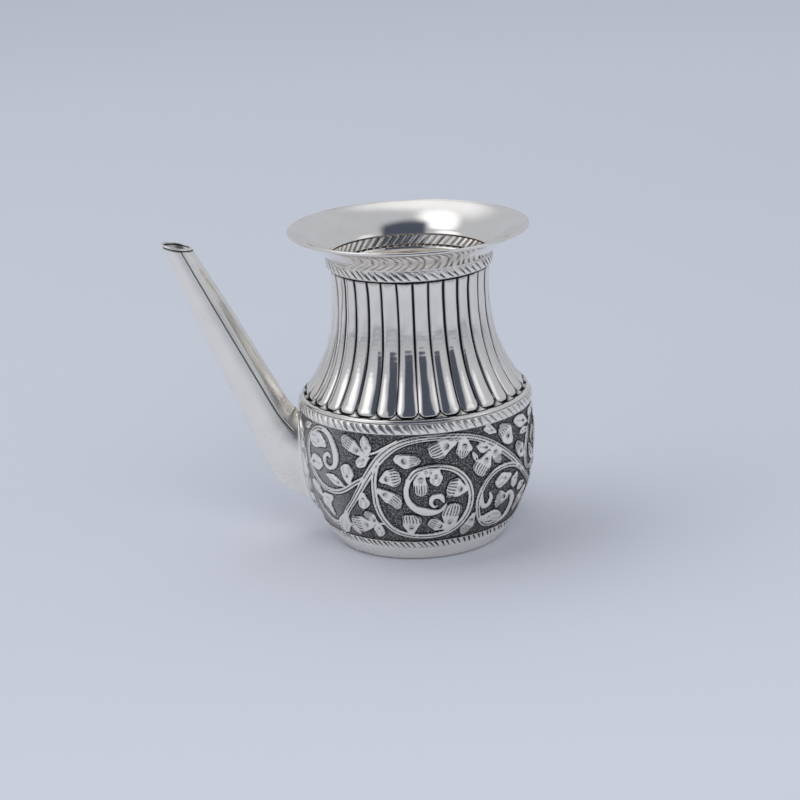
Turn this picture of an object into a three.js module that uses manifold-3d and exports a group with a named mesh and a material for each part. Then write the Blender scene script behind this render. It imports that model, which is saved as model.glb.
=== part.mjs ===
// A small spouted water pot in sheet silver: a round belly, a reeded neck, a wide
// flared mouth and one long straight spout. It has no lid and no handle.
//
// Millimetres, +Z up. The origin is the centre of the flat underside, the spout
// points along -X, and the pot is symmetric about the XZ plane.
//
// The body is three shells and a base cup, soldered edge to edge. A rope band,
// seated in a shallow rebate, covers each seam.

import * as THREE from 'three';
import { mergeVertices } from 'three/addons/utils/BufferGeometryUtils.js';
import Module from 'manifold-3d';

const wasm = await Module();
wasm.setup();

// ---------------------------------------------------------------- driving sizes

const WALL = 0.8;              // sheet thickness
const SEAM = 0.2;              // solder seam between two edges that meet
const SOLDER = 0.15;           // solder film between a band and what it sits on
const SIDES = 48;              // facets round a plain turned piece
const CUT_OVER = 1;            // how far a cutting solid runs past the faces it opens
const SEAT_EASE = 0.1;         // height of the slope between a surface and a band's seat

const BELLY_R = 38.2;          // widest radius of the belly
const BELLY_Z = 32;            // height of the widest circle
const LOWER_ARC = 51;          // profile arc below the widest circle
const UPPER_ARC = 170;         // flatter profile arc above it

const BASE_FLAT_R = 26.6;      // edge of the flat underside
const BASE_THICK = 1.0;
const BASE_EDGE = 0.3;         // height of the small step up from the flat to the wall
const BASE_MIDDLE = 2.5;       // a height half way up the outside of the cup
const BASE_CORNER = 3.5;       // height where the inside wall turns down to the floor
const FOOT_BAND = { low: 5.0, high: 8.0 };
const SHOULDER_BAND = { low: 44.9, high: 48.5 };
const NECK_BAND = { low: 90.7, high: 94.4, outer: 26.5 };
const BAND_DEPTH = 0.6;        // how deep a band is let into the shell
const BAND_CROWN = 0.3;        // how far its middle stands proud
const BAND_BACK_STEPS = 4;
const BELLY_STEPS = 9;
const BELLY_INSIDE_STEPS = 7;
const BELLY_BODY_STEPS = 12;

const SHOULDER_TURN = 46.5;    // above this height the shoulder rounds inwards
const SHOULDER_ROUND = 4.05;   // radius of that rounding
const BEAD_PROUD = 0.15;       // how far the bead stands out past the shoulder
const BEAD_ROUND = 0.15;       // how much further its middle stands out
const NECK_FOOT_Z = 49.6;      // the neck's foot, against the bead's top edge
const NECK_FOOT_STEP = 0.05;   // height of the step from the bead's seat to the neck
const NECK_FOOT_R = 36.3;
const NECK_WAIST_R = 25.3;
const NECK_WAIST_Z = 84;
const NECK_CURVE = 2.45;       // power of the curve from foot to waist
const NECK_COVE = 0.6;         // extra spread in the last few millimetres
const NECK_COVE_RISE = 3;
const NECK_INSIDE = 0.5;       // wall left behind the grooves between reeds
const NECK_INSIDE_DROP = 0.3;  // the inside line is let down, as the foot slopes
const NECK_TOP_SPREAD = 0.6;   // how far the neck opens again above the waist
const NECK_SEAT_R = NECK_BAND.outer - 0.85;   // the shells' radius under the neck band

const REEDS = 32;
const REED_DEPTH = 0.5;
const REED_FACETS = 4;
const SHOULDER_STEPS = 4;
const SHOULDER_INSIDE_STEPS = 3;
const NECK_STEPS = 9;
const NECK_INSIDE_STEPS = 7;
const GROOVE_AZIMUTH = THREE.MathUtils.degToRad(0.9);

const RIM_R = 38.5;
const RIM_TOP = 102.9;
const RIM_WIRE = 0.9;          // height of the wire on the edge
const RIM_EASE = 0.15;         // how much its corners are taken off
const RIM_SEAT = 0.5;          // how far the flare's edge stops inside the wire
const RIM_CROWN = 0.05;        // how far its top is rounded up
const FLARE_FOOT = [26.4, 94.42];  // the flare leaves the band's top edge here
// The flare rises steeply, runs out as a cone and ends in a nearly flat brim.
const FLARE_STEEP = [27.2, 95.5];
const FLARE_BRIM = [33.3, 101.0];
const FLARE_STEPS = 8;

const LIP_LENGTH = 0.005;      // share of the spout that the lip ring takes
const LIP_GAP = 0.002;         // share left open between the lip ring and the tube
const LIP_PROUD = 0.15;
const COLLAR_WIDTH = 5.0;      // border round the spout's root, on the belly
const COLLAR_THICK = 0.6;
const COLLAR_FROM = 0.55;      // share of the spout past which it can touch the belly
const SPOUT_SIDES = 20;
const SPOUT_STEPS = 16;        // rings along the whole spout

// Stations down the spout, in the XZ plane: a point on its outer line, the point
// of its inner line across from it, and half its width across the plane.
const SPOUT_STATIONS = [
  { outer: [-78.6, 100.7], inner: [-69.0, 98.7], half: 4.2 },
  { outer: [-67.5, 71.0], inner: [-56.8, 76.6], half: 5.5 },
  { outer: [-55.7, 42.2], inner: [-42.6, 49.3], half: 6.9 },
  { outer: [-51.1, 29.8], inner: [-39.0, 44.2], half: 7.6 },
  { outer: [-45.2, 19.0], inner: [-36.6, 42.6], half: 8.2 },
  { outer: [-31.6, 9.8], inner: [-29.0, 41.0], half: 8.5 },
];

// ---------------------------------------------------------------- profiles

function bodyRadius(z) {
  const arc = z < BELLY_Z ? LOWER_ARC : UPPER_ARC;
  const rise = z - BELLY_Z;
  const turned = Math.max(z - SHOULDER_TURN, 0);
  return BELLY_R - arc + Math.sqrt(arc * arc - rise * rise) - (turned * turned) / (2 * SHOULDER_ROUND);
}

function neckRadius(z) {
  if (z > NECK_WAIST_Z) {
    const up = (z - NECK_WAIST_Z) / (NECK_BAND.low - NECK_WAIST_Z);
    return NECK_WAIST_R + NECK_TOP_SPREAD * up * up;
  }
  const down = (NECK_WAIST_Z - z) / (NECK_WAIST_Z - NECK_FOOT_Z);
  const cove = NECK_COVE * Math.exp((NECK_FOOT_Z - z) / NECK_COVE_RISE);
  return NECK_WAIST_R + (NECK_FOOT_R - NECK_COVE - NECK_WAIST_R) * down ** NECK_CURVE + cove;
}

// Points of a profile from one height to another, both ends included.
function sweep(radiusAt, from, to, steps) {
  const points = [];
  for (let i = 0; i <= steps; i += 1) {
    const z = from + ((to - from) * i) / steps;
    points.push([radiusAt(z), z]);
  }
  return points;
}

// ---------------------------------------------------------------- solids

// Turns a profile of [radius, height] points about Z. The profile runs up the
// outside and down the inside, and it closes on itself or on the axis.
function turned(profile, sides = SIDES, start = 0) {
  const points = profile.map(([r, z]) => new THREE.Vector2(r, z));
  if (profile[0][0] > 0) {
    points.push(points[0].clone());
  }
  const geometry = new THREE.LatheGeometry(points, sides, start);
  geometry.rotateX(Math.PI / 2);
  return geometry;
}

function toManifold(geometry) {
  const bare = geometry.clone();
  bare.deleteAttribute('normal');
  bare.deleteAttribute('uv');
  const merged = mergeVertices(bare, 1e-4);
  const vertProperties = new Float32Array(merged.attributes.position.array);
  const triVerts = new Uint32Array(merged.index.array);
  return new wasm.Manifold(new wasm.Mesh({ numProp: 3, vertProperties, triVerts }));
}

function toGeometry(manifold) {
  const mesh = manifold.getMesh();
  const geometry = new THREE.BufferGeometry();
  geometry.setAttribute('position', new THREE.BufferAttribute(mesh.vertProperties, 3));
  geometry.setIndex(new THREE.BufferAttribute(mesh.triVerts, 1));
  geometry.computeVertexNormals();
  return geometry;
}

// ---------------------------------------------------------------- base and belly

const FOOT_SEAM = (FOOT_BAND.low + FOOT_BAND.high) / 2;
const SHOULDER_SEAM = (SHOULDER_BAND.low + SHOULDER_BAND.high) / 2;
const NECK_SEAM = (NECK_BAND.low + NECK_BAND.high) / 2;

const rebated = (z) => bodyRadius(z) - BAND_DEPTH;
const bellyInside = (z) => bodyRadius(z) - BAND_DEPTH - WALL;

function baseCup() {
  const top = FOOT_SEAM - SEAM / 2;
  return turned([
    [0, 0],
    [BASE_FLAT_R, 0],
    [bodyRadius(BASE_EDGE), BASE_EDGE],
    [bodyRadius(BASE_MIDDLE), BASE_MIDDLE],
    [bodyRadius(FOOT_BAND.low), FOOT_BAND.low],
    [rebated(FOOT_BAND.low), FOOT_BAND.low],
    [rebated(top), top],
    [bellyInside(top), top],
    [bellyInside(BASE_CORNER), BASE_CORNER],
    [BASE_FLAT_R - WALL, BASE_THICK],
    [0, BASE_THICK],
  ]);
}

function bellyBlank() {
  const bottom = FOOT_SEAM + SEAM / 2;
  const top = SHOULDER_SEAM - SEAM / 2;
  return turned([
    [rebated(bottom), bottom],
    [rebated(FOOT_BAND.high), FOOT_BAND.high],
    ...sweep(bodyRadius, FOOT_BAND.high, SHOULDER_BAND.low, BELLY_STEPS),
    [rebated(SHOULDER_BAND.low), SHOULDER_BAND.low],
    [rebated(top), top],
    ...sweep(bellyInside, top, bottom, BELLY_INSIDE_STEPS),
  ]);
}

// The belly filled in between two heights, its surface moved out by `offset`.
function bellyBody(offset, low = FOOT_BAND.low, high = NECK_FOOT_Z) {
  const grown = (z) => bodyRadius(z) + offset;
  return toManifold(turned([[0, low], ...sweep(grown, low, high, BELLY_BODY_STEPS), [0, high]]));
}

// A rope band: a flat strap with a crowned face, seated in its rebate.
function ropeBand({ low, high }, seatAt, outerAt) {
  const middle = (low + high) / 2;
  const bottom = low + SOLDER;
  const top = high - SOLDER;
  const back = (z) => seatAt(z) + SOLDER;
  return turned([
    [back(bottom), bottom],
    [outerAt(bottom), bottom],
    [outerAt(middle) + BAND_CROWN, middle],
    [outerAt(top), top],
    ...sweep(back, top, bottom, BAND_BACK_STEPS),
  ].slice(0, -1));
}

function neckBand() {
  return ropeBand(NECK_BAND, () => NECK_SEAT_R, () => NECK_BAND.outer);
}

// ---------------------------------------------------------------- shoulder and neck

const NECK_SEAT_Z = NECK_FOOT_Z - NECK_FOOT_STEP;

// The smooth half-round bead between the shoulder band and the neck's foot.
function shoulderBead() {
  const low = SHOULDER_BAND.high;
  const high = NECK_SEAT_Z - SOLDER;
  const middle = (low + high) / 2;
  return turned([
    [rebated(low) + SOLDER, low],
    [bodyRadius(low) + BEAD_PROUD, low],
    [bodyRadius(middle) + BEAD_PROUD + BEAD_ROUND, middle],
    [bodyRadius(high) + BEAD_PROUD, high],
    [rebated(high) + SOLDER, high],
  ]);
}

// The neck shell starts under the shoulder band, runs under the bead, and rises
// to the seam under the neck band. Its reeds run from the bead to the neck band.
function neckShell() {
  const bottom = SHOULDER_SEAM + SEAM / 2;
  const top = NECK_SEAM - SEAM / 2;
  const insideLine = (z) => neckRadius(z + NECK_INSIDE_DROP) - REED_DEPTH - NECK_INSIDE;
  const outside = turned([
    [0, bottom],
    ...sweep(rebated, bottom, NECK_SEAT_Z, SHOULDER_STEPS),
    ...sweep(neckRadius, NECK_FOOT_Z, NECK_BAND.low, NECK_STEPS),
    [NECK_SEAT_R, NECK_BAND.low + SEAT_EASE],
    [NECK_SEAT_R, top],
    [0, top],
  ], REEDS * REED_FACETS, GROOVE_AZIMUTH + Math.PI / 2);
  cutReeds(outside);
  const inside = turned([
    [0, bottom - CUT_OVER],
    [bellyInside(bottom), bottom - CUT_OVER],
    ...sweep(bellyInside, bottom, NECK_FOOT_Z - NECK_INSIDE, SHOULDER_INSIDE_STEPS),
    ...sweep(insideLine, NECK_FOOT_Z + NECK_INSIDE, NECK_BAND.low, NECK_INSIDE_STEPS),
    [NECK_SEAT_R - WALL, top + CUT_OVER],
    [0, top + CUT_OVER],
  ]);
  return toGeometry(toManifold(outside).subtract(toManifold(inside)));
}

// Draws the outside of the neck in between the crowns of the reeds.
function cutReeds(geometry) {
  const edge = NECK_FOOT_STEP / 5;
  const position = geometry.attributes.position;
  for (let i = 0; i < position.count; i += 1) {
    const x = position.getX(i);
    const y = position.getY(i);
    const z = position.getZ(i);
    const r = Math.hypot(x, y);
    const reeded = z > NECK_FOOT_Z - edge && z < NECK_BAND.low + edge;
    if (reeded && r > 0) {
      const turn = ((Math.atan2(y, x) - GROOVE_AZIMUTH) * REEDS) / (2 * Math.PI);
      const fromCrown = 2 * (turn - Math.floor(turn)) - 1;
      const cut = REED_DEPTH * fromCrown * fromCrown;
      position.setXY(i, (x * (r - cut)) / r, (y * (r - cut)) / r);
    }
  }
}

// ---------------------------------------------------------------- mouth

const FLARE_END = [RIM_R - RIM_SEAT, RIM_TOP - RIM_WIRE + RIM_CROWN];

// Points along the flare, moved to its inner side by `offset`.
function flareLine(offset) {
  const ends = [FLARE_FOOT, FLARE_STEEP, FLARE_BRIM, FLARE_END];
  const curve = new THREE.CubicBezierCurve(...ends.map(([r, z]) => new THREE.Vector2(r, z)));
  const line = [];
  for (let i = 0; i <= FLARE_STEPS; i += 1) {
    const point = curve.getPoint(i / FLARE_STEPS);
    const along = curve.getTangent(i / FLARE_STEPS);
    line.push([point.x - along.y * offset, point.y + along.x * offset]);
  }
  return line;
}

// The mouth: a short throat behind the neck band, stepping out over the band's
// top edge into the flare.
function mouthFlare() {
  const bottom = NECK_SEAM + SEAM / 2;
  const inner = flareLine(WALL).slice(1);
  return turned([
    [NECK_SEAT_R - WALL, bottom],
    [NECK_SEAT_R, bottom],
    [NECK_SEAT_R, NECK_BAND.high],
    ...flareLine(0),
    ...inner.reverse(),
    [NECK_SEAT_R - WALL, NECK_BAND.high + SEAT_EASE],
  ]);
}

function rimWire() {
  const low = RIM_TOP - RIM_WIRE;
  const inner = FLARE_END[0] + SOLDER;
  return turned([
    [inner, low],
    [RIM_R - RIM_EASE, low],
    [RIM_R, low + 2 * RIM_EASE],
    [RIM_R - RIM_EASE, RIM_TOP],
    [RIM_R - 4 * RIM_EASE, RIM_TOP + RIM_CROWN],
    [inner - RIM_EASE, RIM_TOP - RIM_CROWN],
    [inner, RIM_TOP - RIM_WIRE / 2],
  ]);
}

// ---------------------------------------------------------------- spout

const OUTER_LINE = new THREE.CatmullRomCurve3(
  SPOUT_STATIONS.map(({ outer, half }) => new THREE.Vector3(outer[0], half, outer[1])),
);
const INNER_LINE = new THREE.CatmullRomCurve3(
  SPOUT_STATIONS.map(({ inner, half }) => new THREE.Vector3(inner[0], half, inner[1])),
);

// Bends a unit cylinder along the spout between two shares of its length, its
// section grown by `grow`, and its ends pushed past the stations by `extra`.
function spoutBody(from, to, grow, extra = 0) {
  const steps = Math.ceil((to - from) * SPOUT_STEPS);
  const geometry = new THREE.CylinderGeometry(1, 1, 1, SPOUT_SIDES, steps);
  const position = geometry.attributes.position;
  for (let i = 0; i < position.count; i += 1) {
    const share = from + (to - from) * (0.5 - position.getY(i));
    const outer = OUTER_LINE.getPoint(share);
    const inner = INNER_LINE.getPoint(share);
    const centre = outer.clone().add(inner).multiplyScalar(0.5);
    const across = inner.clone().sub(outer).multiplyScalar(0.5);
    const reach = (across.length() + grow) / across.length();
    const along = new THREE.Vector3(across.z, 0, -across.x).normalize();
    const atEnd = Math.abs(position.getY(i)) === 0.5 ? Math.sign(-position.getY(i)) : 0;
    const half = outer.y + grow;
    const x = position.getX(i);
    const y = position.getZ(i);
    position.setXYZ(
      i,
      centre.x - across.x * reach * x + along.x * extra * atEnd,
      half * y,
      centre.z - across.z * reach * x + along.z * extra * atEnd,
    );
  }
  return toManifold(geometry);
}

const TUBE_START = LIP_LENGTH + LIP_GAP;
const BORE_REACH = 3;
const bore = spoutBody(0, 1, -WALL, BORE_REACH);

function bellyShell() {
  return toGeometry(toManifold(bellyBlank()).subtract(bore));
}

function spoutTube() {
  const tube = spoutBody(TUBE_START, 1, 0);
  return toGeometry(tube.subtract(bellyBody(SOLDER)).subtract(bore));
}

function spoutLip() {
  return toGeometry(spoutBody(0, LIP_LENGTH, LIP_PROUD).subtract(bore));
}

function spoutCollar() {
  const low = FOOT_BAND.high + SEAM;
  const high = SHOULDER_BAND.low - SEAM;
  const strip = spoutBody(COLLAR_FROM, 1, COLLAR_WIDTH)
    .intersect(bellyBody(SOLDER + COLLAR_THICK, low, high))
    .subtract(bellyBody(SOLDER))
    .subtract(spoutBody(TUBE_START, 1, SOLDER));
  const largest = strip.decompose().sort((a, b) => b.volume() - a.volume())[0];
  return toGeometry(largest);
}

// ---------------------------------------------------------------- materials

// Polished silver; chased work is darkened by the oxide left in its ground.
function polishedSilver() {
  return new THREE.MeshStandardMaterial({ color: 0xd6d6d4, metalness: 1, roughness: 0.16 });
}

function chasedSilver() {
  return new THREE.MeshStandardMaterial({ color: 0x9c9c9d, metalness: 1, roughness: 0.38 });
}

// ---------------------------------------------------------------- assembly

function addPart(group, name, geometry, material) {
  const mesh = new THREE.Mesh(geometry, material);
  mesh.name = name;
  group.add(mesh);
}

const pot = new THREE.Group();

addPart(pot, 'base_cup', baseCup(), polishedSilver());
addPart(pot, 'foot_rope_band', ropeBand(FOOT_BAND, rebated, bodyRadius), chasedSilver());
addPart(pot, 'belly_shell', bellyShell(), chasedSilver());
addPart(pot, 'shoulder_rope_band', ropeBand(SHOULDER_BAND, rebated, bodyRadius), chasedSilver());
addPart(pot, 'shoulder_bead', shoulderBead(), polishedSilver());
addPart(pot, 'neck_shell', neckShell(), polishedSilver());
addPart(pot, 'neck_rope_band', neckBand(), chasedSilver());
addPart(pot, 'mouth_flare', mouthFlare(), polishedSilver());
addPart(pot, 'rim_wire', rimWire(), polishedSilver());
addPart(pot, 'spout_tube', spoutTube(), polishedSilver());
addPart(pot, 'spout_lip_ring', spoutLip(), polishedSilver());
addPart(pot, 'spout_root_collar', spoutCollar(), chasedSilver());

export default pot;
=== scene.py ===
"""A spouted silver pot: fine surfaces, materials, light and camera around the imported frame.

Lengths in the modelling code are millimetres; `MM` turns them into metres for Blender.
Azimuth `phi` is in degrees round the body: 0 at the spout (-X), 90 at -Y, 180 at +X.
"""
import math

import bpy
import numpy as np
from mathutils import Matrix, Vector


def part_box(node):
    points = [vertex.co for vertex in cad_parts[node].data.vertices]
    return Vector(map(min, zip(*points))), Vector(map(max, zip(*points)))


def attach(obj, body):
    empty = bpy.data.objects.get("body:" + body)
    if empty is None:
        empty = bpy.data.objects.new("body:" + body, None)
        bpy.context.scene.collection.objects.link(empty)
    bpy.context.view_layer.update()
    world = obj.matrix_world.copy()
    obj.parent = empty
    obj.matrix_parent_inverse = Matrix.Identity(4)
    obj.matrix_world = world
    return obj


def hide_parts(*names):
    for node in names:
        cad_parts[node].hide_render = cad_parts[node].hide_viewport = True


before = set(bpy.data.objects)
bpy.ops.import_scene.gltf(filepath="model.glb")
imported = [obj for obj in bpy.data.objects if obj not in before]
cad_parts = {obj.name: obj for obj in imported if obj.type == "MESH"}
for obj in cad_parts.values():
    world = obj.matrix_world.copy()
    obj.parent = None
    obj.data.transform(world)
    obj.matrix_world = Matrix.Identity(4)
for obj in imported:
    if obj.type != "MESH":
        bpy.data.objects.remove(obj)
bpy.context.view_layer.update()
MM = 0.001


def heights(node):
    """Bottom and top of a CAD node, in mm."""
    low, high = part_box(node)
    return low[2] / MM, high[2] / MM


def radius_of(node):
    """Radius of a round CAD node, in mm: how far it reaches along +Y."""
    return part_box(node)[1][1] / MM


# ---- sizes from the frame

BASE_LOW = heights("base_cup")[0]
BELLY_R = radius_of("belly_shell")
FOOT_LOW, FOOT_HIGH = heights("foot_rope_band")
SHOULDER_LOW, SHOULDER_HIGH = heights("shoulder_rope_band")
NECK_LOW, NECK_HIGH = heights("neck_rope_band")
NECK_BAND_R = radius_of("neck_rope_band")
RIM_R = radius_of("rim_wire")
RIM_TOP = heights("rim_wire")[1]

# ---- profile, as in the CAD

WALL = 0.8
LAP = 1.4                 # how far the inner wall of base and belly is under the outer profile
BELLY_Z = 32.0            # height of the widest circle
LOWER_ARC = 51.0          # radius of the belly's curve under the widest circle
UPPER_ARC = 170.0         # and over it
SHOULDER_TURN = 46.5      # height where the shoulder starts to turn in
SHOULDER_ROUND = 4.05     # radius of that turn
NECK_FOOT_Z = 49.6
NECK_FOOT_R = 36.3
NECK_WAIST_R = 25.3
NECK_WAIST_Z = 84.0
NECK_CURVE = 2.45         # power of the sweep from the waist down to the foot
NECK_COVE = 0.6           # extra spread at the very foot
NECK_COVE_RISE = 3.0      # height over which that spread dies away
NECK_TOP_SPREAD = 0.6
NECK_SEAT_LOW = 47.2      # lower edge of the neck shell, inside the bands
REEDS = 32
GROOVE_PHI = 0.9          # azimuth of one groove between reeds
FLARE = ((26.5, 94.4), (27.2, 95.5), (33.3, 101.0), (38.1, 102.1))   # Bezier points of the outer side
THROAT_R = 24.95          # inner wall behind the neck band
THROAT_SPREAD = 0.85      # how much wider it is at the top of the band
RIM_WIRE_R = 0.5

# ---- hand work

BAND_STROKES = 64         # strokes round the neck band, and on the wall behind it
BAND_SLANT = 1.5          # strokes that one stroke passes on its way up the band
INNER_MARKS = (89.8, 94.1)   # heights between which the strokes show on the inner wall


def body_radius(z):
    """Outer radius of the base, belly and shoulder."""
    z = np.asarray(z, float)
    arc = np.where(z < BELLY_Z, LOWER_ARC, UPPER_ARC)
    turned_in = np.clip(z - SHOULDER_TURN, 0, None) ** 2 / (2 * SHOULDER_ROUND)
    return BELLY_R - arc + np.sqrt(arc ** 2 - (z - BELLY_Z) ** 2) - turned_in


def body_slope(z):
    """Angle of the belly's outward normal below the horizontal, in radians."""
    z = np.asarray(z, float)
    arc = np.where(z < BELLY_Z, LOWER_ARC, UPPER_ARC)
    return np.arcsin((BELLY_Z - z) / arc)


def neck_radius(z):
    """Outer radius of the neck, over the crowns of its reeds."""
    z = np.asarray(z, float)
    down = np.clip((NECK_WAIST_Z - z) / (NECK_WAIST_Z - NECK_FOOT_Z), 0, None)
    up = np.clip((z - NECK_WAIST_Z) / (NECK_LOW - NECK_WAIST_Z), 0, None)
    cove = NECK_COVE * np.exp((NECK_FOOT_Z - z) / NECK_COVE_RISE)
    return (NECK_WAIST_R + (NECK_FOOT_R - NECK_COVE - NECK_WAIST_R) * down ** NECK_CURVE
            + cove + NECK_TOP_SPREAD * up ** 2)


# ---- shared helpers

def smooth(x):
    """0 below 0, 1 above 1, an S curve between."""
    x = np.clip(x, 0, 1)
    return x * x * (3 - 2 * x)


def bell(x, width):
    """1 at 0, falling away on both sides over about `width`."""
    return np.exp(-(x / width) ** 2)


def unevenness(phi, z, seed, size, waves=14):
    """Gentle random swell of a hand-worked surface, about +-1, its waves `size` mm long."""
    draw = np.random.default_rng(seed)
    total = np.zeros(np.broadcast(phi, z).shape)
    turns = 2 * math.pi * BELLY_R / size
    for _ in range(waves):
        around = draw.integers(1, max(2, int(turns)))
        along = draw.normal(0, 2 * math.pi / size)
        start = draw.uniform(0, 2 * math.pi)
        total += np.cos(np.radians(phi) * around + z * along + start)
    return total / math.sqrt(waves)


def around(columns):
    """Azimuths of the columns of a closed ring, in degrees."""
    return np.arange(columns) * 360 / columns


def on_body(phi, radius, z):
    """Points at azimuths, radii and heights round the pot's axis."""
    angle = np.radians(phi)
    return np.stack(np.broadcast_arrays(-radius * np.cos(angle), -radius * np.sin(angle), z), -1)


def grid_mesh(name, points, tone=0.0, poles=None):
    """Mesh over a grid of points in mm, rows by columns, with a tone at each.

    Columns close round. So do rows, unless there are poles to close the end rows on.
    """
    rows, columns = points.shape[:2]
    vertices = points.reshape(-1, 3)
    tones = np.broadcast_to(tone, (rows, columns)).ravel()
    last = rows - 1 if poles else rows
    row = np.arange(last)[:, None]
    column = np.arange(columns)[None, :]
    above = (row + 1) % rows
    beside = (column + 1) % columns
    corners = (row * columns + column, row * columns + beside,
               above * columns + beside, above * columns + column)
    quads = np.stack([np.broadcast_to(c, (last, columns)) for c in corners], -1).reshape(-1, 4)
    fans = [np.zeros((0, 3), int)]
    for end, pole in zip((0, rows - 1), poles or ()):
        vertices = np.vstack([vertices, pole])
        tones = np.append(tones, tones[end * columns])
        tip = len(vertices) - 1
        ring = end * columns + np.arange(columns)
        following = np.roll(ring, -1)
        pair = (following, ring) if end == 0 else (ring, following)
        fans.append(np.stack([pair[0], pair[1], np.full(columns, tip)], -1))
    mesh = bpy.data.meshes.new(name)
    fill_mesh(mesh, vertices * MM, quads, np.vstack(fans))
    layer = mesh.attributes.new("tone", "FLOAT", "POINT")
    layer.data.foreach_set("value", tones.astype(np.float32))
    piece = bpy.data.objects.new(name, mesh)
    bpy.context.scene.collection.objects.link(piece)
    return piece


def fill_mesh(mesh, vertices, quads, triangles):
    """Fill an empty mesh with smooth faces."""
    loops = np.concatenate([quads.ravel(), triangles.ravel()])
    sides = np.concatenate([np.full(len(quads), 4), np.full(len(triangles), 3)])
    starts = np.concatenate([[0], np.cumsum(sides)[:-1]])
    mesh.vertices.add(len(vertices))
    mesh.vertices.foreach_set("co", vertices.astype(np.float32).ravel())
    mesh.loops.add(len(loops))
    mesh.loops.foreach_set("vertex_index", loops.astype(np.int32))
    mesh.polygons.add(len(sides))
    mesh.polygons.foreach_set("loop_start", starts.astype(np.int32))
    mesh.polygons.foreach_set("loop_total", sides.astype(np.int32))
    mesh.polygons.foreach_set("use_smooth", np.ones(len(sides), bool))
    mesh.update(calc_edges=True)
    mesh.validate()


def hand_over(piece, node, material):
    """The piece stands for a CAD node, rides on the pot, and gets its material."""
    piece.data.materials.append(material)
    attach(piece, "root")
    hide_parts(node)


# ---- materials

# sockets of a Mix node set to colours
MIX_LOW, MIX_HIGH, MIX_RESULT = 6, 7, 2


class Nodes:
    """A short way to write the node tree of a material or of the world."""

    def __init__(self, owner, shader):
        owner.use_nodes = True
        self.owner = owner
        self.tree = owner.node_tree
        self.shader = self.tree.nodes[shader]

    def add(self, kind, inputs=None, **settings):
        node = self.tree.nodes.new(kind)
        for key, value in settings.items():
            setattr(node, key, value)
        for key, value in (inputs or {}).items():
            self.feed(node.inputs[key], value)
        return node

    def feed(self, socket, value):
        if isinstance(value, bpy.types.NodeSocket):
            self.tree.links.new(value, socket)
        else:
            socket.default_value = value

    def math(self, operation, *values):
        """Result of a Math node on sockets or numbers."""
        node = self.add("ShaderNodeMath", operation=operation)
        for socket, value in zip(node.inputs, values):
            self.feed(socket, value)
        return node.outputs[0]

    def mix(self, share, low, high):
        """Colour between two others."""
        node = self.add("ShaderNodeMix", data_type="RGBA")
        self.feed(node.inputs["Factor"], share)
        self.feed(node.inputs[MIX_LOW], low)
        self.feed(node.inputs[MIX_HIGH], high)
        return node.outputs[MIX_RESULT]

    def ramp(self, value, low, high, to_low=0.0, to_high=1.0, kind="LINEAR"):
        """A value moved from one range to another and held in it."""
        node = self.add("ShaderNodeMapRange", {"Value": value, "From Min": low, "From Max": high,
                                               "To Min": to_low, "To Max": to_high},
                        interpolation_type=kind)
        return node.outputs["Result"]

    def place(self, stretch=(1, 1, 1)):
        where = self.add("ShaderNodeTexCoord").outputs["Object"]
        return self.add("ShaderNodeMapping", {"Vector": where, "Scale": stretch}).outputs["Vector"]

    def noise(self, size_mm, detail, stretch=(1, 1, 1)):
        node = self.add("ShaderNodeTexNoise", {"Vector": self.place(stretch), "Scale": 1 / (size_mm * MM),
                                               "Detail": detail, "Roughness": 0.5})
        return node.outputs["Fac"]

    def cells(self, size_mm):
        node = self.add("ShaderNodeTexVoronoi", {"Vector": self.place(), "Scale": 1 / (size_mm * MM)})
        return node.outputs["Distance"]

    def tone(self):
        return self.add("ShaderNodeAttribute", attribute_name="tone").outputs["Fac"]

    def metal(self, colour, roughness, height, depth_mm, strength):
        """The finished material: metal, with a bump from `height`."""
        self.feed(self.shader.inputs["Base Color"], colour)
        self.feed(self.shader.inputs["Roughness"], roughness)
        self.shader.inputs["Metallic"].default_value = 1.0
        bump = self.add("ShaderNodeBump", {"Height": height, "Distance": depth_mm * MM,
                                           "Strength": strength})
        self.feed(self.shader.inputs["Normal"], bump.outputs["Normal"])
        return self.owner


def new_material(name):
    return Nodes(bpy.data.materials.new(name), "Principled BSDF")


# Tone is 0 on clean metal, 1 on ground or in a cut, and above 1 where oxide lies thickest. Tone also carries
# painted shade: against the feet of the raised work, under the neck band and in the leaves' eyes.
SILVER = (0.95, 0.905, 0.845, 1)
WORN_SILVER = (0.87, 0.825, 0.77, 1)
WHITE_SILVER = (1.0, 0.96, 0.895, 1)
SATIN_SILVER = (0.95, 0.91, 0.85, 1)
GREY_SILVER = (0.66, 0.64, 0.62, 1)
GROUND = (0.085, 0.082, 0.082, 1)
OXIDE_AND_SHADE = (0.02, 0.02, 0.022, 1)


def polished_silver(name, roughness=0.07, haze=0.06, grain=(1, 1, 1), clear=SILVER, dull=WORN_SILVER):
    """Bright silver with a soft haze of fine polishing marks, and oxide in its creases. The same dark also
    lays in painted shade where a piece's tone carries it.

    Roughness rises by `haze` in the hazy patches; `grain` stretches patches and marks.
    """
    haze_mm, mark_mm, mark_depth_mm, mark_strength = 7.0, 0.35, 0.004, 0.35
    n = new_material(name)
    haze_mask = n.noise(haze_mm, 3.0, grain)
    marks = n.noise(mark_mm, 3.0, grain)
    clean = n.mix(n.ramp(haze_mask, 0.25, 0.85), clear, dull)
    colour = n.mix(n.ramp(n.tone(), 0.0, 1.0), clean, OXIDE_AND_SHADE)
    rough = n.math("ADD", n.ramp(haze_mask, 0.3, 0.75, roughness, roughness + haze),
                   n.math("MULTIPLY", n.tone(), 0.25))
    return n.metal(colour, rough, marks, mark_depth_mm, mark_strength)


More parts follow.
